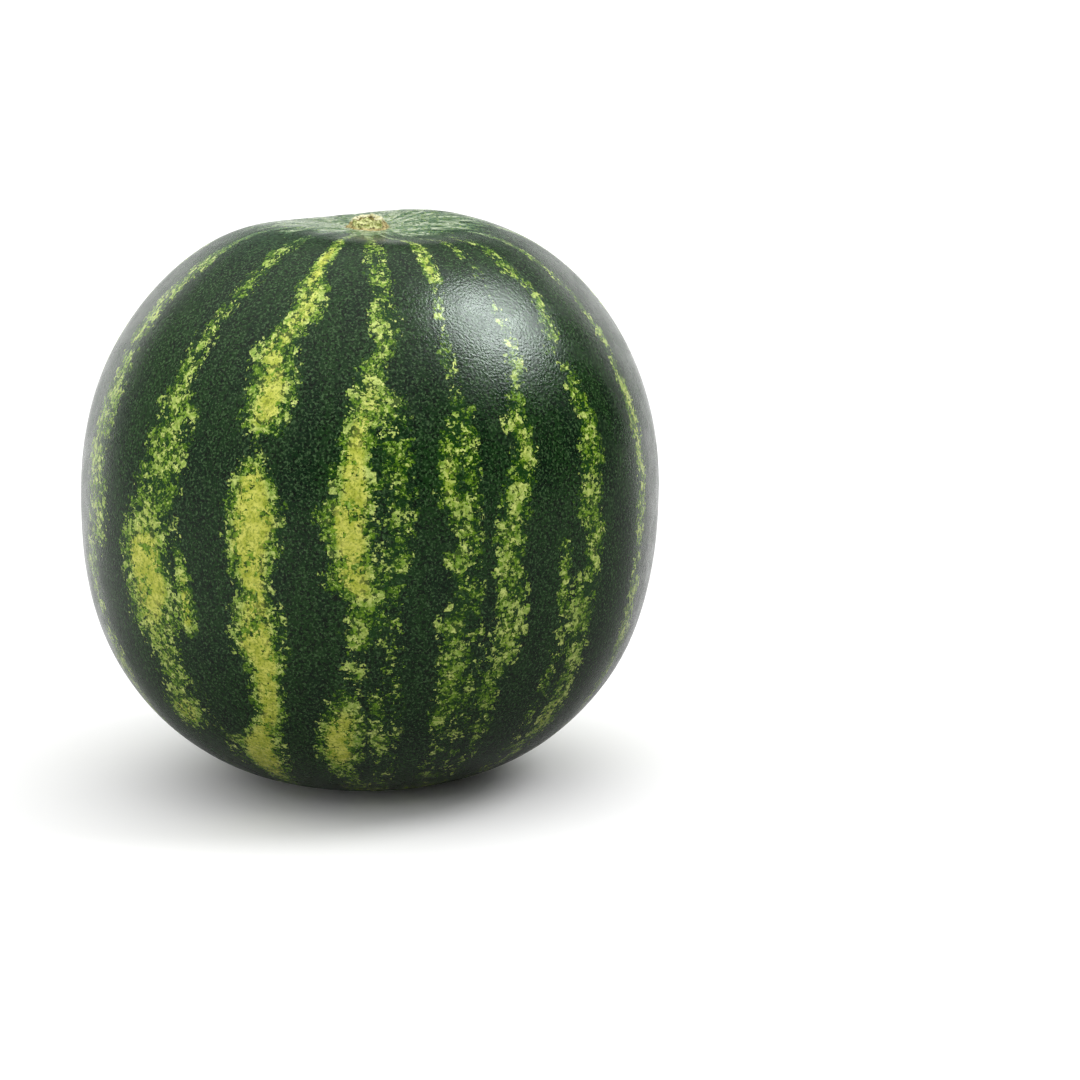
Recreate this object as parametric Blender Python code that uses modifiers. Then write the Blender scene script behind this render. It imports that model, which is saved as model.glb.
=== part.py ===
"""A whole round watermelon, standing on its blossom end with the stem scar on top.

The fruit grew as one piece, so it is one solid. Metres, +Z up. The origin is the middle of the
fruit's box, on the plane that it stands on. +Z runs from the blossom end up to the stem end.
"""

import math

import bpy

# Overall size.
FRUIT_WIDTH = 0.2242  # across the ribs
RIDGE_HEIGHT = 0.2172  # of the ridge round the stem's hollow, on average
WIDEST_HEIGHT = 0.1142  # of the widest ring

# How full the flanks are: 2 is an ellipse, and more is squarer.
UPPER_FULLNESS = 2.04
LOWER_FULLNESS = 2.39

# The flat spot that the fruit stands on, and the sunken blossom scar in its middle.
FOOT_RADIUS = 0.0220
BLOSSOM_SCAR_RADIUS = 0.0080
BLOSSOM_SCAR_DEPTH = 0.0010
BLOSSOM_SCAR_SLOPE = 0.0012  # width of the ring where the scar's edge slopes in

# The hollow round the stem: how far the crown is drawn down there, and how widely.
CAVITY_SINK = 0.0138
CAVITY_RADIUS = 0.0422

# The corky stub that the stem broke away from.
STUB_BASE_RADIUS = 0.0085
STUB_TOP_RADIUS = 0.0058
STUB_HEIGHT = 0.0038  # above the floor of the hollow

# How the fruit differs from a turned shape.
RIB_COUNT = 10
RIB_DEPTH = 0.0004
RIB_PHASE = math.radians(14)
RIDGE_RADIUS = 0.0300  # where the ridge is most uneven
RIDGE_TILT = 0.0023  # one side of it stands this much higher
RIDGE_TILT_DIRECTION = math.radians(87)
RIDGE_SADDLE = 0.0017  # two opposite sides of it stand this much higher
RIDGE_SADDLE_DIRECTION = math.radians(32)
LEAN = 0.0127  # sideways shift for each metre of height
STEM_OFFSET = -0.0018  # the stem end sits a little to one side of the middle
OVAL = 0.0012  # wider by this share across one way, and narrower across the other
OVAL_DIRECTION = math.radians(70)

# How finely the solid is faceted.
SEGMENTS = 64
CROWN_RINGS = 19
FLANK_RINGS = 17
MERGE_DISTANCE = 1e-5

FRUIT_RADIUS = FRUIT_WIDTH / 2 - RIB_DEPTH
DARK_GREEN = (0.016, 0.052, 0.024, 1.0)


def superellipse(share, fullness):
    """Height of a superellipse of unit height at a share of its half width."""
    return max(0.0, 1 - share**fullness) ** (1 / fullness)


def raw_crown(radius):
    """Height of the crown above the widest ring, before it is scaled to RIDGE_HEIGHT."""
    dome = FRUIT_RADIUS * superellipse(min(1.0, radius / FRUIT_RADIUS), UPPER_FULLNESS)
    return dome - CAVITY_SINK * math.exp(-((radius / CAVITY_RADIUS) ** 2))


def highest_raw_crown(steps=400):
    """The raw crown's highest point, on the ridge that rings the hollow."""
    return max(raw_crown(FRUIT_RADIUS * i / steps) for i in range(steps + 1))


def crown_height(radius, scale):
    """Height above the ground of the upper half at a distance from the axis."""
    return WIDEST_HEIGHT + scale * raw_crown(radius)


def flank_depth():
    """Depth of the whole lower superellipse, which the ground cuts off at the foot's radius."""
    return WIDEST_HEIGHT / superellipse(FOOT_RADIUS / FRUIT_RADIUS, LOWER_FULLNESS)


def ring_radius(share, fullness):
    """Radius of a ring at a share of the quarter turn from the pole to the widest ring."""
    return FRUIT_RADIUS * math.sin(math.pi / 2 * share) ** (2 / fullness)


def turn_share(radius, fullness):
    """The share of the quarter turn at which ring_radius gives this radius."""
    return math.asin((radius / FRUIT_RADIUS) ** (fullness / 2)) / (math.pi / 2)


def fruit_profile():
    """(radius, height) points down the fruit's side, from the stem stub to the blossom scar."""
    scale = (RIDGE_HEIGHT - WIDEST_HEIGHT) / highest_raw_crown()
    stub_top = crown_height(0, scale) + STUB_HEIGHT
    points = [(0.0, stub_top), (STUB_TOP_RADIUS, stub_top)]

    start = turn_share(STUB_BASE_RADIUS, UPPER_FULLNESS)
    for i in range(CROWN_RINGS):
        share = start + (1 - start) * i / CROWN_RINGS
        radius = ring_radius(share, UPPER_FULLNESS)
        points.append((radius, crown_height(radius, scale)))

    depth = flank_depth()
    end = turn_share(FOOT_RADIUS, LOWER_FULLNESS)
    for i in range(FLANK_RINGS):
        share = 1 - (1 - end) * i / FLANK_RINGS
        radius = ring_radius(share, LOWER_FULLNESS)
        fall = depth * superellipse(radius / FRUIT_RADIUS, LOWER_FULLNESS)
        points.append((radius, WIDEST_HEIGHT - fall))

    points.append((FOOT_RADIUS, 0.0))
    points.append((BLOSSOM_SCAR_RADIUS, 0.0))
    points.append((BLOSSOM_SCAR_RADIUS - BLOSSOM_SCAR_SLOPE, BLOSSOM_SCAR_DEPTH))
    points.append((0.0, BLOSSOM_SCAR_DEPTH))
    return points


def turned_mesh(name, profile):
    """A closed mesh, made by turning the profile round +Z with a Screw modifier."""
    outline = bpy.data.meshes.new(name + "_profile")
    edges = [(i, i + 1) for i in range(len(profile) - 1)]
    outline.from_pydata([(radius, 0, height) for radius, height in profile], edges, [])
    turning = bpy.data.objects.new(name + "_profile", outline)
    bpy.context.scene.collection.objects.link(turning)

    screw = turning.modifiers.new("Turn", "SCREW")
    screw.axis = "Z"
    screw.angle = math.tau
    screw.steps = SEGMENTS
    screw.render_steps = SEGMENTS
    screw.use_merge_vertices = True
    screw.merge_threshold = MERGE_DISTANCE

    bpy.context.view_layer.update()
    graph = bpy.context.evaluated_depsgraph_get()
    mesh = bpy.data.meshes.new_from_object(turning.evaluated_get(graph))
    mesh.name = name
    bpy.data.objects.remove(turning)
    bpy.data.meshes.remove(outline)
    return mesh


def grown(point):
    """Moves a point of the turned shape to where the real fruit's uneven growth puts it."""
    x, y, z = point
    radius = math.hypot(x, y)
    angle = math.atan2(y, x)
    share = radius / FRUIT_RADIUS

    radius += RIB_DEPTH * math.cos(RIB_COUNT * angle + RIB_PHASE) * share**2
    radius *= 1 + OVAL * math.cos(2 * (angle - OVAL_DIRECTION))
    x = radius * math.cos(angle) + LEAN * (z - WIDEST_HEIGHT)
    y = radius * math.sin(angle)

    if z > WIDEST_HEIGHT:
        spread = (radius / RIDGE_RADIUS) ** 2
        rise = RIDGE_TILT * math.cos(angle - RIDGE_TILT_DIRECTION)
        rise += RIDGE_SADDLE * math.cos(2 * (angle - RIDGE_SADDLE_DIRECTION))
        z += rise * spread * math.exp(1 - spread)
        x += STEM_OFFSET * math.exp(-((radius / CAVITY_RADIUS) ** 2))
    return x, y, z


def centre_on_ground(mesh):
    """Moves the mesh so that the middle of its box is over the origin."""
    xs = [vertex.co.x for vertex in mesh.vertices]
    ys = [vertex.co.y for vertex in mesh.vertices]
    middle_x = (min(xs) + max(xs)) / 2
    middle_y = (min(ys) + max(ys)) / 2
    for vertex in mesh.vertices:
        vertex.co.x -= middle_x
        vertex.co.y -= middle_y


def rind_material():
    """The rind's plain dark green, waxy and half glossy."""
    material = bpy.data.materials.new("rind")
    material.use_nodes = True
    shader = material.node_tree.nodes["Principled BSDF"]
    shader.inputs["Base Color"].default_value = DARK_GREEN
    shader.inputs["Roughness"].default_value = 0.38
    shader.inputs["Metallic"].default_value = 0.0
    return material


def make_fruit(collection):
    """The whole fruit, as one object with its origin on the ground below its middle."""
    mesh = turned_mesh("watermelon", fruit_profile())
    for vertex in mesh.vertices:
        vertex.co = grown(vertex.co)
    centre_on_ground(mesh)
    mesh.shade_smooth()
    mesh.set_sharp_from_angle(angle=math.radians(40))
    mesh.materials.append(rind_material())
    fruit = bpy.data.objects.new("watermelon", mesh)
    collection.objects.link(fruit)
    return fruit


def main():
    for old in list(bpy.data.objects):
        bpy.data.objects.remove(old)
    collection = bpy.data.collections.new("watermelon")
    bpy.context.scene.collection.children.link(collection)
    make_fruit(collection)


main()
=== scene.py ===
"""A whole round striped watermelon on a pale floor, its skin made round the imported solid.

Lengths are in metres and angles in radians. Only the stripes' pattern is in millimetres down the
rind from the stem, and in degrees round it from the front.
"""

import math
import random

import bmesh
import bpy
import numpy as np
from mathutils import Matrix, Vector, noise


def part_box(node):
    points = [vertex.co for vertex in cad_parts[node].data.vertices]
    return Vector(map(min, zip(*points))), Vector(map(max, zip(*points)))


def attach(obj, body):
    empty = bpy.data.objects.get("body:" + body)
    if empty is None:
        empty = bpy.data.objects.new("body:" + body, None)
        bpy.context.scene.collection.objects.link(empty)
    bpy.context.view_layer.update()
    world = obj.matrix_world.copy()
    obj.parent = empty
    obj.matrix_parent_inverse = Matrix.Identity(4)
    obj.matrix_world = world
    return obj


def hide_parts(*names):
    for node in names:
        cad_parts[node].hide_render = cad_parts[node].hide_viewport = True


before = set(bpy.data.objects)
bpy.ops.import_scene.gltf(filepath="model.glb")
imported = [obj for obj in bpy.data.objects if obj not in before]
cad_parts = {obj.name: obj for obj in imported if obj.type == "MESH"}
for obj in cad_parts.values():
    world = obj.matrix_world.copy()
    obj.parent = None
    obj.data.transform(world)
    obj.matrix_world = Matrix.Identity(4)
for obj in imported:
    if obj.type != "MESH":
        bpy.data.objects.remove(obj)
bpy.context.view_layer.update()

# The fruit's shape, as the solid has it.
FRUIT_RADIUS = 0.1117
RIDGE_HEIGHT = 0.2172
WIDEST_HEIGHT = 0.1142
UPPER_FULLNESS = 2.04
LOWER_FULLNESS = 2.39
FOOT_RADIUS = 0.0220
BLOSSOM_SCAR_RADIUS = 0.0080
BLOSSOM_SCAR_DEPTH = 0.0010
BLOSSOM_SCAR_SLOPE = 0.0012
CAVITY_SINK = 0.0138
CAVITY_RADIUS = 0.0422
STUB_BASE_RADIUS = 0.0085
STUB_TOP_RADIUS = 0.0058
STUB_HEIGHT = 0.0038
RIB_COUNT = 10
RIB_DEPTH = 0.0004
RIB_PHASE = math.radians(14)
RIDGE_RADIUS = 0.0300
RIDGE_TILT = 0.0023
RIDGE_TILT_DIRECTION = math.radians(87)
RIDGE_SADDLE = 0.0017
RIDGE_SADDLE_DIRECTION = math.radians(32)
LEAN = 0.0127
STEM_OFFSET = -0.0018

# What the skin adds to the solid.
CREASE_DEPTH = 0.00045  # of the folds that run out from the stem
CREASE_DENSITY = 3.4  # about this many of them for each radian
CREASE_FADE = 0.050  # distance down the rind where they end
DENT_DEPTH = 0.0005  # of broad, shallow unevenness
DENT_SIZE = 0.045
DENT_HEIGHTS = (0.002, 0.020)  # heights between which the dents fade in, above the flat spot
STUB_FALL = 0.0016  # how far the stub's top falls in front
STUB_RISE = 0.0008  # and how far it rises behind
STUB_HOLLOW = 0.0015  # depth of the hollow inside the stub's rim
STUB_CORE = 0.0010  # height of the core in its middle
STUB_CORE_RADIUS = 0.0017
TORN_COARSE = 0.0007  # height of the torn cork's lumps
TORN_FINE = 0.0003
PIT_DEPTH = 0.0007  # of the pits in the cork
PIT_SIZE = 0.0021
SCAR_LUMPS = 0.00035  # height of the lumps in the blossom scar
SCAR_PITS = 0.00045  # and depth of its pits
RAGGED = 0.0007  # how far the edge of the cork wanders

# How finely the skin is made.
SEGMENTS = 340
STUB_TOP_RINGS = 18
STUB_SIDE_RINGS = 12
CROWN_RINGS = 128
FLANK_RINGS = 84
FOOT_RINGS = 8
SCAR_RINGS = 14
MERGE_DISTANCE = 1e-6

MM = 0.001

# Each stripe's points, from the stem down: millimetres down the rind, degrees to the right of the
# front, half width in degrees, and how solid its colour is.
STRIPES = (
    ((40, -62, 3.2, 0.39), (75, -65, 4, 0.47), (100, -68, 4, 0.43), (130, -68, 4.8, 0.43),
     (160, -68, 5.6, 0.52), (180, -65, 5.6, 0.43), (200, -72, 4, 0.47), (215, -70, 3.2, 0.3),
     (235, -68, 4.8, 0.52), (255, -68, 4, 0.43), (285, -66, 2.4, 0.26)),
    ((45, -32, 3, 0.28), (62, -35, 4.1, 0.39), (84, -37, 3, 0.31), (97, -40, 2.1, 0.28),
     (104, -41, 3, 0.43), (122, -43, 2.7, 0.43), (134, -42.8, 5.2, 0.47), (160, -44, 5.6, 0.5),
     (178, -47, 6.2, 0.58), (186, -48, 6.4, 0.94), (200, -46.5, 6.3, 0.95), (216, -47, 6.1, 0.6),
     (226, -45, 4.3, 0.56), (242, -45.5, 4.3, 0.39), (250, -46, 5.5, 0.77), (258, -46.5, 4, 0.65),
     (267, -49, 1.7, 0)),
    ((183, -39, 1.5, 0.35), (198, -37.5, 1.8, 0.75), (211, -37.5, 2, 0.85), (219, -38, 1, 0)),
    ((14, -10, 7, 0.6), (30, -13, 3.4, 0.64), (42, -14, 2.4, 0.62), (52, -14.5, 2.4, 0.66),
     (60, -15.5, 2.4, 0.82), (71, -17, 3, 0.76), (82, -16.5, 4.3, 0.65), (92, -16.7, 4.3, 0.69),
     (101, -20, 4.1, 0.69), (109, -22, 4.9, 0.73), (120, -20.5, 5, 0.75), (131, -21, 4.3, 0.85),
     (137, -22, 4.3, 0.65), (141, -22, 4, 0.05), (147, -23, 4, 0.05), (150, -23, 2.5, 0.6),
     (156, -22.5, 3.8, 0.85), (171, -22, 5.6, 1), (181, -23, 4.8, 0.95), (197, -22, 3, 0.85),
     (203, -22, 4.6, 0.75), (218, -22.5, 5.2, 0.9), (225, -21, 3.4, 0.95), (247, -22, 3, 0.85),
     (256, -25, 4, 0.85), (264, -28, 6, 0.95), (281, -30, 6.2, 0.95), (293, -31, 4.5, 0.6),
     (308, -32, 3, 0.2)),
    ((14, 0, 7, 0.6), (30, 0, 3.6, 0.52), (42, 0, 2.6, 0.38), (62, 1.5, 3.9, 0.37), (78, 2, 3.6, 0.37),
     (86, 2.5, 2.6, 0.28), (95, 3, 3.9, 0.52), (105, 3, 2.6, 0.38), (113, 0, 2.6, 0.45),
     (121, -1, 3.2, 0.6), (127, 0.5, 5.5, 0.62), (137, -2.5, 3, 0.74), (152, -3.5, 3.2, 0.86),
     (161, -3, 3.6, 0.88), (168, -4.7, 5.2, 0.86), (177, -3.8, 4, 0.94), (184, -3.5, 3.5, 0.84),
     (191, -3.5, 5.5, 0.78), (196, -2.5, 4, 0.8), (200, -1, 3.2, 0.5), (212, -1.8, 3.5, 0.55),
     (220, -3, 2, 0.1), (227, -3.5, 2.5, 0.38), (233, -4, 2, 0.05), (241, -6, 4, 0.45),
     (249, -6, 4.6, 0.8), (257, -7.5, 4.6, 0.95), (270, -7.8, 4.8, 0.95), (276, -8, 4, 0.6),
     (298, -6, 4, 0.2)),
    ((130, 5, 2.5, 0.28), (150, 4.5, 3, 0.33), (166, 5, 2.8, 0.34), (176, 5, 2.5, 0.28),
     (188, 4, 4, 0.42), (198, 4, 2, 0.14)),
    ((240, 1, 1.6, 0.4), (262, 2, 2, 0.6), (278, 2, 1, 0.1)),
    ((14, 15, 7, 0.52), (30, 18, 3, 0.46), (42, 19, 2.2, 0.4), (56, 19.5, 2.9, 0.52),
     (68, 18, 2.4, 0.69), (78, 18, 2, 0.65), (86, 17.5, 1.2, 0.26), (110, 16, 1.8, 0.3),
     (121, 16.5, 1.5, 0.17), (131, 17.5, 1.8, 0.43), (141, 14.8, 2, 0.56), (160, 14, 2.2, 0.62),
     (169, 17, 3, 0.47), (178, 18.5, 2.2, 0.34), (185, 15.3, 2, 0.52), (199, 17.5, 1.5, 0.34),
     (208, 15, 3, 0.5), (220, 16, 2.4, 0.34), (232, 15.7, 3.2, 0.56), (250, 15, 2.4, 0.47),
     (262, 15.5, 1.8, 0.17)),
    ((133, 18.8, 1.3, 0.43), (146, 19.2, 1.3, 0.43), (163, 18.8, 1.3, 0.39), (175, 19.5, 1.3, 0.26)),
    ((14, 28, 6, 0.42), (50, 34, 2, 0.15), (66, 33.5, 2.4, 0.17), (80, 33, 2, 0.08), (106, 33, 2, 0.16),
     (114, 32.5, 2.4, 0.45), (124, 31, 2, 0.33), (137, 29, 2.8, 0.57), (146, 30.5, 2.2, 0.62),
     (154, 29.5, 3, 0.56), (170, 27, 3, 0.52), (190, 26, 3, 0.55), (198, 27.5, 3, 0.43),
     (216, 27, 3.5, 0.57), (228, 26, 3, 0.43), (238, 24.5, 2.4, 0.52), (260, 25.5, 2, 0.26)),
    ((40, 46, 2.5, 0.23), (58, 47, 2.9, 0.3), (67, 46.7, 2.9, 0.55), (77, 45.5, 2.9, 0.62),
     (84, 48, 2, 0.4), (96, 47.2, 2.2, 0.49), (107, 45, 2.5, 0.4), (114, 43, 1.6, 0.2),
     (120, 46, 2, 0.26), (128, 46, 2.7, 0.42), (139, 47.6, 2.1, 0.46), (153, 46.5, 3.3, 0.56),
     (162, 46.2, 2.9, 0.52), (171, 44.5, 3.1, 0.56), (180, 46.8, 2.5, 0.54), (192, 46.5, 2.5, 0.5),
     (210, 44, 3.3, 0.46), (240, 46, 2.9, 0.48), (260, 45, 3.7, 0.62), (290, 43, 2.5, 0.2)),
    ((186, 39.3, 1.2, 0.39), (197, 39.5, 1.5, 0.52), (207, 39.5, 1.1, 0.26)),
    ((38, 66, 2.5, 0.31), (50, 65, 2.8, 0.48), (64, 63.5, 2.1, 0.43), (74, 63, 1.7, 0.28),
     (90, 65, 1.4, 0.33), (112, 66, 2.1, 0.43), (124, 65.5, 2.4, 0.4), (134, 66, 2.1, 0.6),
     (148, 66.5, 2.5, 0.66), (160, 66, 2.5, 0.52), (181, 65.5, 3.1, 0.51), (193, 64, 2.1, 0.31),
     (224, 65, 3.5, 0.59), (250, 64, 2.8, 0.43), (285, 63, 2.1, 0.16)),
)

# The stripes that grow round the back, where they follow no plan.
BACK_STRIPES = 11
BACK_START = 92  # degrees to the right of the front
BACK_SPACING = 18  # degrees
BACK_SEED = 11

# Near both ends the rind is pale, grey and streaked, and at the stem end its pale grey is partly a
# painted sheen. Each pair is a distance from that end, up to which it is wholly so, and one from
# which it isn't so at all.
STREAKED = 0.68  # how strong the pale streaks are
STEM_STREAKS = (0.012, 0.072)
LONG_STREAKS = (0.030, 0.095)  # where the stripes' patches are drawn out
GREY_AND_SHEEN_REACH = (0.035, 0.085)  # where the rind is greyer and paler
BLOSSOM_STREAKS = (0.012, 0.040)  # all of this, at the blossom end

# In front, the dark rind comes closer to the stem: the streaks, and the pale grey with its painted sheen,
# reach less far.
DARK_MIDDLE = 8  # degrees to the right of the front
DARK_EDGES = (10, 75)  # degrees to either side of that, from where it is closest to where it isn't
STREAKS_IN_FRONT = 0.45  # the share of their reach that the streaks have there
GREY_AND_SHEEN_IN_FRONT = 0.55

# How each stripe runs on under the fruit: millimetres down the rind, and how solid its colour is.
STRIPE_TAIL = ((300, 0.12), (316, 0.46), (332, 0.44))
TAIL_HALF_WIDTH = 3.4  # degrees
STRIPE_FADE = 8  # millimetres over which a stripe starts and ends
STRIPE_EDGE = (0.2, 1.5)  # shares of its half width between which it fades out sideways

# The blocks that break up the stripes: their size, the size and strength of their patches, and how
# much each block differs from its neighbours.
MOTTLE_SCALES = (
    (4.8 * MM, 10 * MM, 1.25, 0.66),
    (2.2 * MM, 5 * MM, 0.95, 0.52),
    (1.0 * MM, 3 * MM, 0.95, 0.56),
)
MOTTLE_LOW = -0.42
MOTTLE_HIGH = 0.5


def superellipse(share, fullness):
    """Height of a superellipse of unit height at a share of its half width."""
    return np.maximum(0.0, 1 - np.minimum(share, 1.0) ** fullness) ** (1 / fullness)


def smooth(low, high, value):
    """Rises smoothly from 0 at low to 1 at high."""
    share = np.clip((value - low) / (high - low), 0, 1)
    return share * share * (3 - 2 * share)


def raw_crown(radius):
    """Height of the crown above the widest ring, before it is scaled to RIDGE_HEIGHT."""
    dome = FRUIT_RADIUS * superellipse(radius / FRUIT_RADIUS, UPPER_FULLNESS)
    return dome - CAVITY_SINK * np.exp(-((radius / CAVITY_RADIUS) ** 2))


def crown_height(radius):
    """Height above the floor of the upper half at a distance from the axis."""
    highest = raw_crown(np.linspace(0, FRUIT_RADIUS, 400)).max()
    return WIDEST_HEIGHT + raw_crown(radius) * (RIDGE_HEIGHT - WIDEST_HEIGHT) / highest


def flank_height(radius):
    """Height above the floor of the lower half at a distance from the axis."""
    foot = superellipse(FOOT_RADIUS / FRUIT_RADIUS, LOWER_FULLNESS)
    share = superellipse(radius / FRUIT_RADIUS, LOWER_FULLNESS) / foot
    return WIDEST_HEIGHT * (1 - share)


def ring_radii(inner, fullness, count, closeness):
    """Radii of rings from an inner one out to the widest, closer together near the inner one."""
    start = math.asin((inner / FRUIT_RADIUS) ** (fullness / 2))
    share = np.linspace(0, 1, count) ** closeness
    return FRUIT_RADIUS * np.sin(start + (math.pi / 2 - start) * share) ** (2 / fullness)


def fruit_profile():
    """Points (radius, height) down the fruit's side, from the stem stub to the blossom scar."""
    stub_foot = crown_height(STUB_BASE_RADIUS)
    stub_top = crown_height(0.0) + STUB_HEIGHT
    top = [(radius, stub_top) for radius in np.linspace(0, STUB_TOP_RADIUS, STUB_TOP_RINGS)]

    fall = np.linspace(0, 1, STUB_SIDE_RINGS + 1)[1:]
    reach = STUB_TOP_RADIUS + (STUB_BASE_RADIUS - STUB_TOP_RADIUS) * fall
    side = zip(reach, stub_top + (stub_foot - stub_top) * np.sin(fall * math.pi / 2))

    crown = [(r, crown_height(r)) for r in ring_radii(STUB_BASE_RADIUS, UPPER_FULLNESS, CROWN_RINGS, 1.5)]
    flank = [(r, flank_height(r)) for r in ring_radii(FOOT_RADIUS, LOWER_FULLNESS, FLANK_RINGS, 1.0)]
    foot = [(radius, 0.0) for radius in np.linspace(FOOT_RADIUS, BLOSSOM_SCAR_RADIUS, FOOT_RINGS)]
    floor = BLOSSOM_SCAR_RADIUS - BLOSSOM_SCAR_SLOPE
    slope = [(BLOSSOM_SCAR_RADIUS - BLOSSOM_SCAR_SLOPE / 2, BLOSSOM_SCAR_DEPTH / 2)]
    scar = [(radius, BLOSSOM_SCAR_DEPTH) for radius in np.linspace(floor, 0, SCAR_RINGS)]
    return [*top, *side, *crown[1:], *flank[-2::-1], *foot[1:], *slope, *scar]


def turned_mesh(name, profile):
    """A closed mesh, made by spinning a profile once round +Z. Its "down" attribute holds the
    distance down the profile from the stem."""
    built = bmesh.new()
    down = built.verts.layers.float.new("down")
    previous, travelled = None, 0.0
    for radius, height in profile:
        vertex = built.verts.new((radius, 0, height))
        if previous:
            built.edges.new((previous, vertex))
            travelled += (vertex.co - previous.co).length
        vertex[down] = travelled
        previous = vertex
    bmesh.ops.spin(
        built,
        geom=built.verts[:] + built.edges[:],
        axis=(0, 0, 1),
        cent=(0, 0, 0),
        angle=math.tau,
        steps=SEGMENTS,
        use_merge=True,
    )
    bmesh.ops.remove_doubles(built, verts=built.verts, dist=MERGE_DISTANCE)
    bmesh.ops.recalc_face_normals(built, faces=built.faces)
    mesh = bpy.data.meshes.new(name)
    built.to_mesh(mesh)
    built.free()
    return mesh


def read(data, key, width):
    """A mesh's values as an array, one row for each item."""
    values = np.empty(len(data) * width, np.float32)
    data.foreach_get(key, values)
    return values.reshape(-1, width).squeeze().astype(float)


def write_attribute(mesh, name, values):
    """Stores one number or one vector for each vertex under a name that the material reads."""
    wide = values.ndim == 2
    attribute = mesh.attributes.new(name, "FLOAT_VECTOR" if wide else "FLOAT", "POINT")
    attribute.data.foreach_set("vector" if wide else "value", values.astype(np.float32).ravel())


def lumps(places, size, seed):
    """Smooth noise from about -1 to 1 at each place, with lumps of a size."""
    shift = Vector((seed, 2.0 * seed, 3.0 * seed))
    return np.array([noise.noise(Vector(place) / size + shift) for place in places])


def pits(places, size, seed):
    """Depth from 0 to 1 at each place of round pits, one in every other cell of a size."""
    shift = Vector((seed, seed, seed))
    found = []
    for place in places:
        distances, centres = noise.voronoi(Vector(place) / size + shift)
        has_pit = noise.cell(centres[0] * 7.3) > 0.1
        found.append(max(0.0, 1 - distances[0] / 0.42) if has_pit else 0.0)
    return np.array(found)


def grown(places):
    """Moves the turned shape's points to where the fruit's uneven growth puts them."""
    x, y, z = places.T
    radius, angle = np.hypot(x, y), np.arctan2(y, x)
    radius = radius + RIB_DEPTH * np.cos(RIB_COUNT * angle + RIB_PHASE) * (radius / FRUIT_RADIUS) ** 2
    x = radius * np.cos(angle) + LEAN * (z - WIDEST_HEIGHT)
    y = radius * np.sin(angle)

    upper = z > WIDEST_HEIGHT
    spread = (radius / RIDGE_RADIUS) ** 2
    rise = RIDGE_TILT * np.cos(angle - RIDGE_TILT_DIRECTION)
    rise += RIDGE_SADDLE * np.cos(2 * (angle - RIDGE_SADDLE_DIRECTION))
    z = z + upper * rise * spread * np.exp(1 - spread)
    x = x + upper * STEM_OFFSET * np.exp(-((radius / CAVITY_RADIUS) ** 2))
    return np.stack([x, y, z], axis=1)


def creases(angle, down, stub_edge):
    """Height of the folds that gather the rind towards the stem."""
    ring = np.stack([np.cos(angle), np.sin(angle), 6 * down], axis=1) * CREASE_DENSITY
    folds = 0.4 - 1.6 * np.abs(lumps(ring, 1.0, 5))
    gathered = smooth(stub_edge, stub_edge + 0.004, down) * (1 - smooth(0.5, 1, down / CREASE_FADE))
    return CREASE_DEPTH * folds * gathered


def stub_relief(places, radius, angle, down, stub_edge):
    """Height of the torn cork on top of the stub: a rim that is lower in front, a hollow and pits."""
    on_stub = 1 - smooth(stub_edge - 0.0006, stub_edge + 0.0006, down)
    on_top = 1 - smooth(STUB_TOP_RADIUS * 0.9, STUB_TOP_RADIUS * 1.2, radius)
    open_front = 1 - 0.6 * smooth(0.1, 0.8, -np.sin(angle))
    hollow = -STUB_HOLLOW * (1 - smooth(0.62, 0.98, radius / STUB_TOP_RADIUS)) * open_front
    core = STUB_CORE * np.exp(-((radius / STUB_CORE_RADIUS) ** 2))
    tilt = np.where(np.sin(angle) < 0, STUB_FALL, STUB_RISE) * np.sin(angle) * radius / STUB_TOP_RADIUS
    torn = TORN_COARSE * lumps(places, 0.0026, 3) + TORN_FINE * lumps(places, 0.0009, 4)
    pitted = -PIT_DEPTH * pits(places, PIT_SIZE, 8)
    return on_stub * (on_top * (hollow + core + tilt) + torn + pitted)


def scar_relief(places, down, scar_edge):
    """Height of the lumps and pits in the blossom scar."""
    bumps = SCAR_LUMPS * lumps(places, 0.0016, 6) + SCAR_PITS * pits(places, PIT_SIZE, 9)
    return -bumps * smooth(0, 0.001, down - scar_edge)


def turn_difference(angle, other):
    """The signed turn in degrees from one direction to another, the shorter way round."""
    return (angle - other + 180) % 360 - 180


def back_stripes():
    """Stripes for the back of the fruit, wandering down it from a seeded draw."""
    draw = random.Random(BACK_SEED)
    made = []
    for i in range(BACK_STRIPES):
        centre = BACK_START + BACK_SPACING * (i + draw.uniform(-0.16, 0.16))
        boldness = draw.uniform(0.5, 0.95)  # how solid most of it is
        breadth = draw.uniform(2.6, 5.2)  # its usual half width in degrees
        points, travelled = [], draw.uniform(36, 48)
        while travelled < 300:
            ends = min(1.0, (travelled - 30) / 25, (315 - travelled) / 40)
            solid = 0.05 if draw.random() < 0.09 else min(1.0, boldness + draw.uniform(-0.22, 0.16))
            half = breadth * draw.uniform(0.65, 1.25) * (0.6 + 0.4 * ends)
            points.append((travelled, centre + draw.uniform(-1.6, 1.6), half, solid * ends))
            travelled += draw.uniform(7, 14)
        made.append(points)
    return made


def front_degrees(angle):
    """Degrees to the right of the front, which faces -Y."""
    return np.degrees(np.arctan2(np.cos(angle), -np.sin(angle)))


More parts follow.
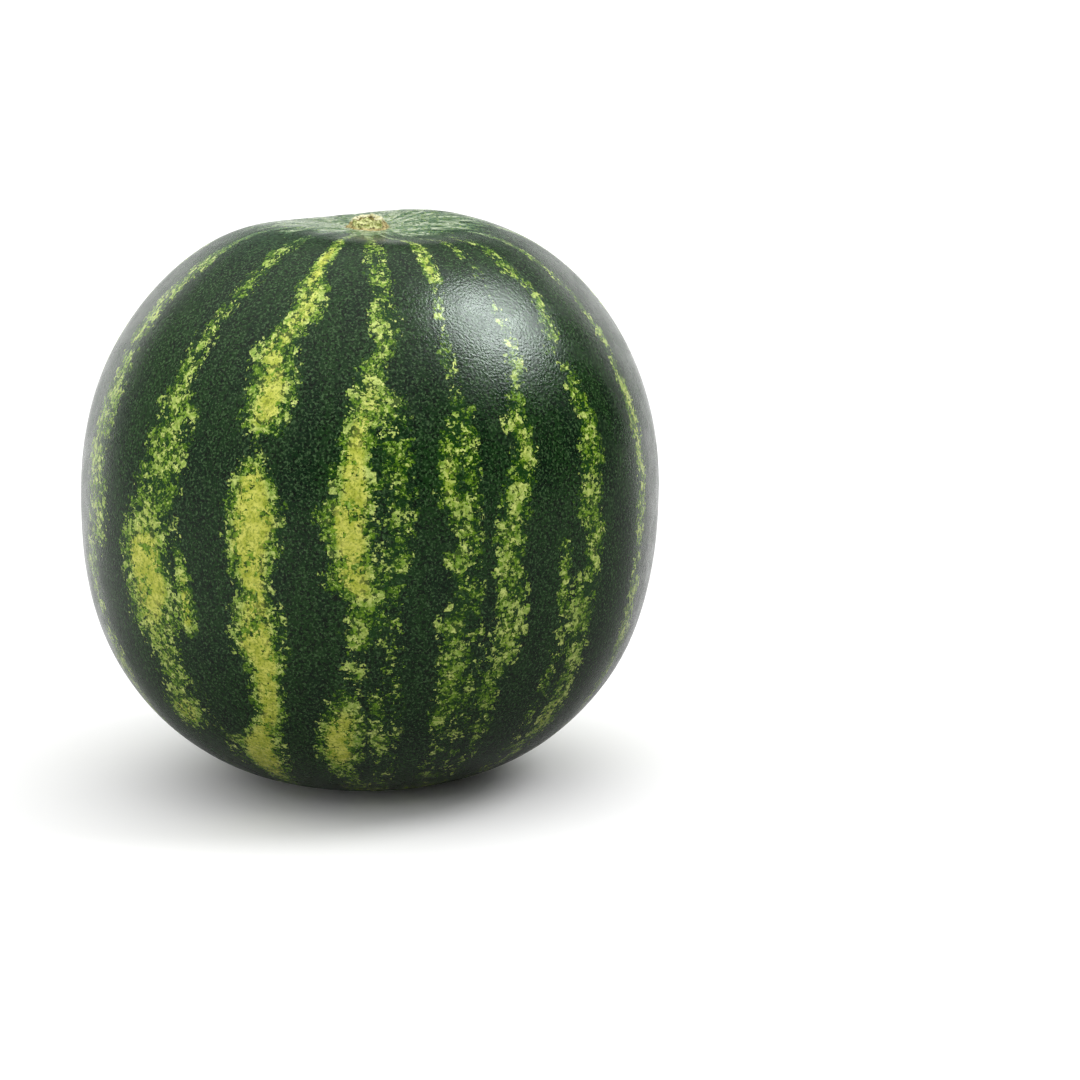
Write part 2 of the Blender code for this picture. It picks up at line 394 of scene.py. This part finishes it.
def stripe_strength(angle, down):
    """How strongly the rind is striped: 1 in a solid stripe, about 0.5 at its edge, 0 between."""
    degrees = front_degrees(angle)
    reach = down / MM
    strength = np.zeros_like(down)
    for stripe in (*STRIPES, *back_stripes()):
        last = stripe[-1]
        beyond = [point for point in STRIPE_TAIL if point[0] > last[0] + STRIPE_FADE]
        tail = [(at, last[1], TAIL_HALF_WIDTH, solid) for at, solid in beyond]
        at, centre, half, solid = np.array([*stripe, *tail], float).T
        offset = np.abs(turn_difference(degrees, np.interp(reach, at, centre)))
        across = offset / np.interp(reach, at, half)
        solid = np.interp(reach, at, solid) * smooth(at[0] - STRIPE_FADE, at[0], reach)
        solid *= 1 - smooth(at[-1], at[-1] + STRIPE_FADE, reach)
        strength = np.maximum(strength, solid * (1 - smooth(*STRIPE_EDGE, across)))
    return strength


def write_pattern(mesh, angle, down):
    """Stores where the rind is striped, where it is drawn out, and where it is greyed towards both ends,
    which at the stem end is partly a painted sheen.
    """
    aside = smooth(*DARK_EDGES, np.abs(turn_difference(front_degrees(angle), DARK_MIDDLE)))
    reach = down / (STREAKS_IN_FRONT + (1 - STREAKS_IN_FRONT) * aside)
    grey_and_sheen_reach = down / (GREY_AND_SHEEN_IN_FRONT + (1 - GREY_AND_SHEEN_IN_FRONT) * aside)
    near_blossom = 1 - smooth(*BLOSSOM_STREAKS, down.max() - down)
    streaked = np.maximum(1 - smooth(*STEM_STREAKS, reach), near_blossom)
    write_attribute(mesh, "stripe", np.maximum(stripe_strength(angle, down), STREAKED * streaked))
    write_attribute(mesh, "drawn_out", np.maximum(1 - smooth(*LONG_STREAKS, reach), near_blossom))
    write_attribute(mesh, "greyed_and_sheen", np.maximum(1 - smooth(*GREY_AND_SHEEN_REACH, grey_and_sheen_reach), near_blossom))


def make_rind():
    """The fruit's skin, stem scar and blossom scar, as one closed mesh."""
    profile = fruit_profile()
    mesh = turned_mesh("watermelon_rind", profile)
    turned = read(mesh.vertices, "co", 3)
    down = read(mesh.attributes["down"].data, "value", 1)
    radius = np.hypot(turned[:, 0], turned[:, 1])
    angle = np.arctan2(turned[:, 1], turned[:, 0])
    steps = np.hypot(*np.diff(np.array(profile), axis=0).T)
    stub_edge = steps[: STUB_TOP_RINGS + STUB_SIDE_RINGS - 1].sum()
    scar_edge = steps[: -(SCAR_RINGS + 1)].sum()

    places = grown(turned)
    mesh.vertices.foreach_set("co", places.astype(np.float32).ravel())
    mesh.update()
    outward = read(mesh.vertex_normals, "vector", 3)

    dents = DENT_DEPTH * lumps(places, DENT_SIZE, 1) * smooth(*DENT_HEIGHTS, places[:, 2])
    relief = creases(angle, down, stub_edge) + dents
    near_stub = down < stub_edge + 0.002
    relief[near_stub] += stub_relief(
        places[near_stub], radius[near_stub], angle[near_stub], down[near_stub], stub_edge
    )
    in_scar = down > scar_edge
    relief[in_scar] += scar_relief(places[in_scar], down[in_scar], scar_edge)
    places += outward * relief[:, None]
    fit_to_box(places)
    mesh.vertices.foreach_set("co", places.astype(np.float32).ravel())

    ring = np.stack([np.cos(angle), np.sin(angle), np.zeros_like(angle)], axis=1)
    ragged = RAGGED * lumps(ring, 0.12, 2)
    cork = 1 - smooth(stub_edge - 0.0004, stub_edge + 0.0006, down + ragged)
    blossom = smooth(scar_edge - 0.0006, scar_edge + 0.0004, down + ragged)
    write_attribute(mesh, "cork", np.maximum(cork, blossom))
    write_attribute(mesh, "around", np.stack([np.cos(angle), np.sin(angle), down], axis=1))
    write_pattern(mesh, angle, down)

    mesh.shade_smooth()
    mesh.update()
    rind = bpy.data.objects.new("watermelon_rind", mesh)
    bpy.context.scene.collection.objects.link(rind)
    return rind


def fit_to_box(places):
    """Stretches the points by the last fraction of a millimetre to fill the solid's box."""
    low, high = (np.array(corner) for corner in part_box("watermelon"))
    own_low, own_high = places.min(axis=0), places.max(axis=0)
    places -= own_low
    places *= (high - low) / (own_high - own_low)
    places += low


def colour(red, green, blue):
    """A linear colour from one written in the usual 0 to 255 screen values."""
    shares = [value / 255 for value in (red, green, blue)]
    return (*[s / 12.92 if s <= 0.04045 else ((s + 0.055) / 1.055) ** 2.4 for s in shares], 1.0)


class Tree:
    """Adds nodes to a material or a world. Most methods return the socket that a node gives out."""

    def __init__(self, owner, shader):
        owner.use_nodes = True
        self.tree = owner.node_tree
        self.shader = self.tree.nodes[shader]

    def node(self, kind, inputs, **settings):
        made = self.tree.nodes.new("ShaderNode" + kind)
        for name, value in settings.items():
            setattr(made, name, value)
        for name, value in inputs.items():
            self.plug(made.inputs[name], value)
        return made

    def plug(self, socket, value):
        if isinstance(value, bpy.types.NodeSocket):
            self.tree.links.new(value, socket)
        else:
            socket.default_value = value

    def attribute(self, name, output="Fac"):
        return self.node("Attribute", {}, attribute_name=name).outputs[output]

    def place(self):
        return self.node("TexCoord", {}).outputs["Object"]

    def math(self, operation, *values):
        return self.node("Math", dict(enumerate(values)), operation=operation).outputs[0]

    def scaled(self, vector, scale):
        return self.node("VectorMath", {0: vector, 1: scale}, operation="MULTIPLY").outputs[0]

    def moved(self, vector, shift):
        return self.node("VectorMath", {0: vector, 1: shift}, operation="ADD").outputs[0]

    def noise(self, vector, size, detail=2.0, roughness=0.5, gain=1.0):
        """Noise with lumps of a size, from about -gain / 2 to gain / 2."""
        inputs = {"Vector": vector, "Scale": 1 / size, "Detail": detail, "Roughness": roughness}
        value = self.node("TexNoise", inputs).outputs["Fac"]
        return self.math("MULTIPLY", self.math("SUBTRACT", value, 0.5), 2 * gain)

    def cells(self, vector, size, kind="EUCLIDEAN"):
        """A cell pattern's node, whose cells are about a size across."""
        return self.node("TexVoronoi", {"Vector": vector, "Scale": 1 / size}, distance=kind)

    def ramp(self, value, low, high):
        """Rises smoothly from 0 at low to 1 at high."""
        inputs = {"Value": value, "From Min": low, "From Max": high}
        return self.node("MapRange", inputs, interpolation_type="SMOOTHSTEP").outputs["Result"]

    def mix(self, share, first, second):
        """A colour that goes from the first to the second as share goes from 0 to 1."""
        inputs = {0: share, 6: first, 7: second}
        return self.node("Mix", inputs, data_type="RGBA").outputs[2]

    def blend(self, share, first, second):
        """A number that goes from the first to the second as share goes from 0 to 1."""
        return self.node("Mix", {0: share, 2: first, 3: second}, data_type="FLOAT").outputs[0]

    def bump(self, height, distance):
        return self.node("Bump", {"Height": height, "Distance": distance}).outputs["Normal"]


def mottle(tree, around, drawn_out, shift):
    """Blocky, ragged noise that breaks up the stripes, drawn out into streaks near both ends."""
    shifted = tree.moved(tree.scaled(around, (FRUIT_RADIUS, FRUIT_RADIUS, 1.2)), shift)
    blocks = 0.0
    for cell, patch, gain, speckle in MOTTLE_SCALES:
        cells = tree.cells(shifted, cell, "CHEBYCHEV")
        patches = tree.noise(cells.outputs["Position"], patch, 4.0, 0.72, gain=gain)
        grains = tree.math("MULTIPLY", tree.math("SUBTRACT", cells.outputs["Color"], 0.5), speckle)
        blocks = tree.math("ADD", blocks, tree.math("ADD", patches, grains))
    long = tree.moved(tree.scaled(around, (1.0, 1.0, 8.0)), shift)
    streaks = tree.noise(long, 0.10, 5.0, 0.72, gain=1.9)
    mixed = tree.blend(drawn_out, blocks, streaks)
    return tree.math("MAXIMUM", tree.math("MINIMUM", mixed, MOTTLE_HIGH), MOTTLE_LOW)


def dark_rind(tree, place, around, greyed_and_sheen):
    """The blackish green between the stripes, with fine paler grains and broad cloudy streaks."""
    drawn = tree.scaled(around, (0.11, 0.11, 0.35))
    broad = tree.ramp(tree.noise(drawn, 10 * MM, 3.0, 0.6), -0.3, 0.3)
    ground = tree.mix(broad, colour(12, 40, 16), colour(24, 56, 18))
    # Paler and greyer towards both ends; at the stem end this is partly a painted sheen.
    ground = tree.mix(tree.math("MULTIPLY", greyed_and_sheen, 0.5), ground, colour(70, 98, 80))
    dark = tree.ramp(tree.noise(tree.moved(place, (0.2, 0.1, 0)), 1.2 * MM, 2.0, 0.6), 0.06, -0.22)
    ground = tree.mix(tree.math("MULTIPLY", dark, 0.88), ground, colour(3, 15, 5))
    grain = tree.ramp(tree.noise(place, 0.9 * MM, 3.0, 0.65), 0.0, 0.34)
    return tree.mix(tree.math("MULTIPLY", grain, 0.66), ground, colour(84, 116, 72))


def leaf_green(tree, place, nearness, greyed_and_sheen):
    """The fresh green that edges the stripes: brighter where it nears their pale patches, with
    dark gaps and small pale flecks in it, and greyer near both ends."""
    patchy = tree.ramp(tree.noise(place, 2.2 * MM, 4.0, 0.7), -0.2, 0.25)
    lively = tree.blend(0.5, patchy, nearness)
    fresh = tree.mix(lively, colour(26, 70, 10), colour(126, 166, 36))
    # Greyer towards both ends; at the stem end this is partly a painted sheen.
    fresh = tree.mix(greyed_and_sheen, fresh, colour(100, 128, 98))
    flecks = tree.ramp(tree.noise(tree.moved(place, (0.4, 0.1, 0)), 1.1 * MM, 2.0, 0.6), 0.14, 0.26)
    fresh = tree.mix(tree.math("MULTIPLY", flecks, 0.8), fresh, colour(166, 196, 92))
    gaps = tree.ramp(tree.noise(tree.moved(place, (0.1, 0.4, 0)), 1.4 * MM, 2.0, 0.6), 0.0, -0.2)
    # Its dark gaps go greyer there too, partly as painted sheen.
    gap = tree.mix(greyed_and_sheen, colour(12, 44, 10), colour(58, 92, 62))
    return tree.mix(tree.math("MULTIPLY", gaps, 0.88), fresh, gap)


def pale_stripe(tree, place, stripe, greyed_and_sheen):
    """The stripes' yellow-green, with small olive dots. Where a stripe isn't solid, it is greener
    and has dark gaps in it."""
    patchy = tree.ramp(tree.noise(place, 4 * MM, 4.0, 0.65), -0.3, 0.3)
    solid = tree.mix(patchy, colour(182, 192, 64), colour(224, 226, 106))
    fleck = tree.ramp(tree.cells(place, 1.5 * MM).outputs["Color"], 0.1, 0.9)
    lively = tree.blend(0.55, patchy, fleck)
    broken = tree.mix(lively, colour(104, 150, 30), colour(222, 234, 136))
    plain = tree.mix(tree.ramp(stripe, 0.45, 0.85), broken, solid)
    # Towards both ends the stripes go pale grey; at the stem end this is partly a painted sheen.
    plain = tree.mix(greyed_and_sheen, plain, tree.mix(patchy, colour(148, 168, 138), colour(208, 218, 194)))
    dots = tree.ramp(tree.noise(tree.moved(place, (0.3, 0, 0)), 0.95 * MM, 2.0, 0.6), 0.0, 0.22)
    plain = tree.mix(tree.math("MULTIPLY", dots, 0.62), plain, colour(112, 138, 28))
    holes = tree.noise(tree.moved(place, (0.2, 0.5, 0)), 2.3 * MM, 3.0, 0.65)
    gaps = tree.math("MULTIPLY", tree.ramp(holes, -0.07, -0.12), tree.ramp(stripe, 0.95, 0.65))
    # The gaps go grey there too, partly as painted sheen.
    gap = tree.mix(greyed_and_sheen, colour(22, 60, 10), colour(70, 104, 70))
    return tree.mix(tree.math("MULTIPLY", gaps, 0.9), plain, gap)


def cork_colour(tree, place, around):
    """Torn cork: a greenish-yellow middle that runs down the front, a painted shadow in the hollow and a
    pale rim behind it, and tan sides with pits."""
    axes = tree.node("SeparateXYZ", {"Vector": around}).outputs
    front = tree.ramp(axes["Y"], 0.1, -0.8)
    wander = tree.noise(place, 3 * MM, 3.0, 0.6, gain=1.3 * MM)
    reach = tree.math("ADD", axes["Z"], wander)
    inner = tree.math("MULTIPLY_ADD", front, -5.8 * MM, reach)
    patchy = tree.ramp(tree.noise(place, 1.3 * MM, 4.0, 0.7), -0.25, 0.25)
    side = tree.mix(patchy, colour(108, 94, 42), colour(208, 194, 134))
    rim = tree.mix(patchy, colour(190, 186, 132), colour(236, 234, 200))
    hollow_shade = tree.mix(patchy, colour(66, 60, 26), colour(138, 128, 62))
    middle = tree.mix(patchy, colour(104, 116, 34), colour(220, 222, 156))
    cork = tree.mix(tree.ramp(reach, 6.6 * MM, 7.4 * MM), rim, side)
    behind = tree.math("SUBTRACT", 1.0, front)
    # A painted shadow on the far inside wall of the hollow, behind the middle.
    painted_hollow_shade = tree.math("MULTIPLY", tree.ramp(reach, 4.6 * MM, 4.2 * MM), behind)
    cork = tree.mix(painted_hollow_shade, cork, hollow_shade)
    cork = tree.mix(tree.ramp(inner, 3.7 * MM, 3.1 * MM), cork, middle)
    pits = tree.ramp(tree.cells(place, 1.5 * MM).outputs["Distance"], 0.40, 0.16)
    return tree.mix(tree.math("MULTIPLY", pits, 0.85), cork, colour(58, 50, 14))


def rind_material():
    """A waxy rind: dark green, broken yellow-green stripes, and cork at the two scars."""
    material = bpy.data.materials.new("striped_rind")
    tree = Tree(material, "Principled BSDF")
    place, around = tree.place(), tree.attribute("around", "Vector")
    stripe, cork = tree.attribute("stripe"), tree.attribute("cork")
    drawn_out, greyed_and_sheen = tree.attribute("drawn_out"), tree.attribute("greyed_and_sheen")

    first = mottle(tree, around, drawn_out, (0, 0, 0))
    second = mottle(tree, around, drawn_out, (0.5, 0.2, 0.1))
    strength = tree.math("ADD", stripe, first)
    bright, nearness = tree.ramp(strength, 0.53, 0.57), tree.ramp(strength, 0.2, 0.53)
    fresh = tree.ramp(tree.math("ADD", stripe, tree.math("MULTIPLY", second, 0.6)), 0.31, 0.36)
    tinged = tree.ramp(tree.math("ADD", stripe, tree.math("MULTIPLY", second, 0.25)), 0.05, 0.45)

    dark = dark_rind(tree, place, around, greyed_and_sheen)
    skin = tree.mix(tree.math("MULTIPLY", tinged, 0.6), dark, colour(22, 66, 10))
    skin = tree.mix(fresh, skin, leaf_green(tree, place, nearness, greyed_and_sheen))
    skin = tree.mix(bright, skin, pale_stripe(tree, place, stripe, greyed_and_sheen))
    skin = tree.mix(cork, skin, cork_colour(tree, place, around))
    tree.plug(tree.shader.inputs["Base Color"], skin)

    waxy = tree.blend(tree.ramp(tree.noise(place, 12 * MM, 3.0, 0.6), -0.3, 0.3), 0.21, 0.29)
    tree.plug(tree.shader.inputs["Roughness"], tree.blend(cork, waxy, 0.88))
    tree.plug(tree.shader.inputs["Specular IOR Level"], 0.35)
    peel = tree.bump(tree.noise(place, 0.95 * MM, 2.0, 0.55), 0.09 * MM)
    tree.plug(tree.shader.inputs["Normal"], peel)
    return material


def make_floor():
    """A wide floor, white to the camera. It throws little light up in front of the fruit, some on
    its left and most behind it."""
    mesh = bpy.data.meshes.new("floor")
    built = bmesh.new()
    bmesh.ops.create_circle(built, cap_ends=True, segments=64, radius=60)
    built.to_mesh(mesh)
    built.free()
    floor = bpy.data.objects.new("floor", mesh)
    bpy.context.scene.collection.objects.link(floor)
    material = bpy.data.materials.new("pale_floor")
    tree = Tree(material, "Principled BSDF")
    axes = tree.node("SeparateXYZ", {"Vector": tree.place()}).outputs
    behind = tree.math("SUBTRACT", axes["Y"], tree.math("ABSOLUTE", axes["X"]))
    left = tree.math("MULTIPLY", tree.ramp(axes["X"], -0.05, -0.30), 0.22)
    paler = tree.math("MAXIMUM", tree.ramp(behind, -0.14, 0.06), left)
    bounced = tree.blend(paler, 0.23, 0.90)
    seen = tree.node("LightPath", {}).outputs["Is Camera Ray"]
    pale = tree.mix(tree.blend(seen, bounced, 0.97), (0, 0, 0, 1), (1, 1, 1, 1))
    tree.plug(tree.shader.inputs["Base Color"], pale)
    tree.plug(tree.shader.inputs["Roughness"], 1.0)
    tree.plug(tree.shader.inputs["Specular IOR Level"], 0.0)
    mesh.materials.append(material)


def aim(item, place, target):
    """Puts a lamp or a camera at a place, looking at a target."""
    item.location = place
    item.rotation_euler = (Vector(target) - Vector(place)).to_track_quat("-Z", "Y").to_euler()


def add_sun(name, direction, strength, width):
    """A lamp far off in a direction, which looks as wide as an angle in degrees and gives no shine."""
    lamp = bpy.data.lights.new(name, "SUN")
    lamp.energy = strength
    lamp.angle = math.radians(width)
    sun = bpy.data.objects.new(name, lamp)
    bpy.context.scene.collection.objects.link(sun)
    aim(sun, direction, (0, 0, 0))
    sun.visible_glossy = False


def add_softbox(name, direction, distance, size, radiance):
    """A flat lamp, aimed at the fruit, that shows only as a shine on it."""
    lamp = bpy.data.lights.new(name, "AREA")
    lamp.shape = "RECTANGLE"
    lamp.size, lamp.size_y = size
    lamp.energy = radiance * math.pi * size[0] * size[1]
    lamp.color = (0.90, 1.0, 0.97)
    softbox = bpy.data.objects.new(name, lamp)
    bpy.context.scene.collection.objects.link(softbox)
    middle = Vector((0, 0, WIDEST_HEIGHT))
    aim(softbox, middle + Vector(direction).normalized() * distance, middle)
    softbox.visible_camera = False
    softbox.visible_diffuse = False


def make_surround():
    """A surround, white to the camera. What lights the fruit is a low backdrop behind it, which is
    narrower at the low right and the upper left, and a dim glow from above and from the left."""
    world = bpy.data.worlds.new("surround")
    tree = Tree(world, "Background")
    direction = tree.node("TexCoord", {}).outputs["Generated"]
    axes = tree.node("SeparateXYZ", {"Vector": direction}).outputs
    sides = tree.math("MULTIPLY_ADD", tree.ramp(axes["Y"], 0.97, 0.82), 0.6, 1.05)
    right = tree.ramp(axes["X"], 0.1, 0.4)
    low_right = tree.math("MULTIPLY", right, tree.ramp(axes["Z"], 0.22, 0.04))
    left = tree.ramp(axes["X"], 0.0, -0.3)
    upper_left = tree.math("MULTIPLY", left, tree.ramp(axes["Z"], -0.06, 0.12))
    reach = tree.math("MULTIPLY_ADD", low_right, -0.10, axes["Y"])
    reach = tree.math("MULTIPLY_ADD", upper_left, -0.08, reach)
    backdrop = tree.math("MULTIPLY", sides, tree.ramp(reach, 0.66, 0.77))
    rise = tree.math("MULTIPLY_ADD", tree.math("ABSOLUTE", axes["X"]), -0.5, axes["Z"])
    backdrop = tree.math("MULTIPLY", backdrop, tree.ramp(rise, 0.28, 0.08))
    overhead = tree.ramp(axes["Z"], 0.35, 1.0)
    from_left = tree.ramp(axes["X"], -0.2, -1.0)
    glow = tree.math("ADD", backdrop, 0.025)
    glow = tree.math("MULTIPLY_ADD", overhead, 0.8, glow)
    glow = tree.math("MULTIPLY_ADD", from_left, 0.35, glow)
    seen = tree.node("LightPath", {}).outputs["Is Camera Ray"]
    tree.plug(tree.shader.inputs["Strength"], tree.blend(seen, glow, 1.0))
    tree.plug(tree.shader.inputs["Color"], (1, 1, 1, 1))
    bpy.context.scene.world = world


def light_studio():
    """A broad light from above, a key light from the right with its shine, and a fill from the
    camera's side."""
    make_surround()
    add_sun("overhead_light", (0, 0, 1), 2.15, 120)
    add_sun("key_light", (0.66, -0.04, 0.75), 0.85, 24)
    add_sun("fill_light", (-0.35, -0.92, 0.20), 1.15, 60)
    add_softbox("shine", (0.585, -0.03, 0.785), 1.6, (0.60, 0.78), 22.0)
    bpy.context.scene.view_settings.view_transform = "Standard"


def add_camera():
    """A long lens a little above the fruit's middle, with the fruit left of centre."""
    lens = bpy.data.cameras.new("camera")
    lens.lens = 100
    camera = bpy.data.objects.new("camera", lens)
    bpy.context.scene.collection.objects.link(camera)
    camera.location = (0.0, -1.1521, 0.3174)
    camera.rotation_euler = (math.radians(90 - 11.02), 0, math.radians(-3.27))
    bpy.context.scene.camera = camera


add_camera()
light_studio()
make_floor()
rind = make_rind()
rind.data.materials.append(rind_material())
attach(rind, "root")
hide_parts("watermelon")
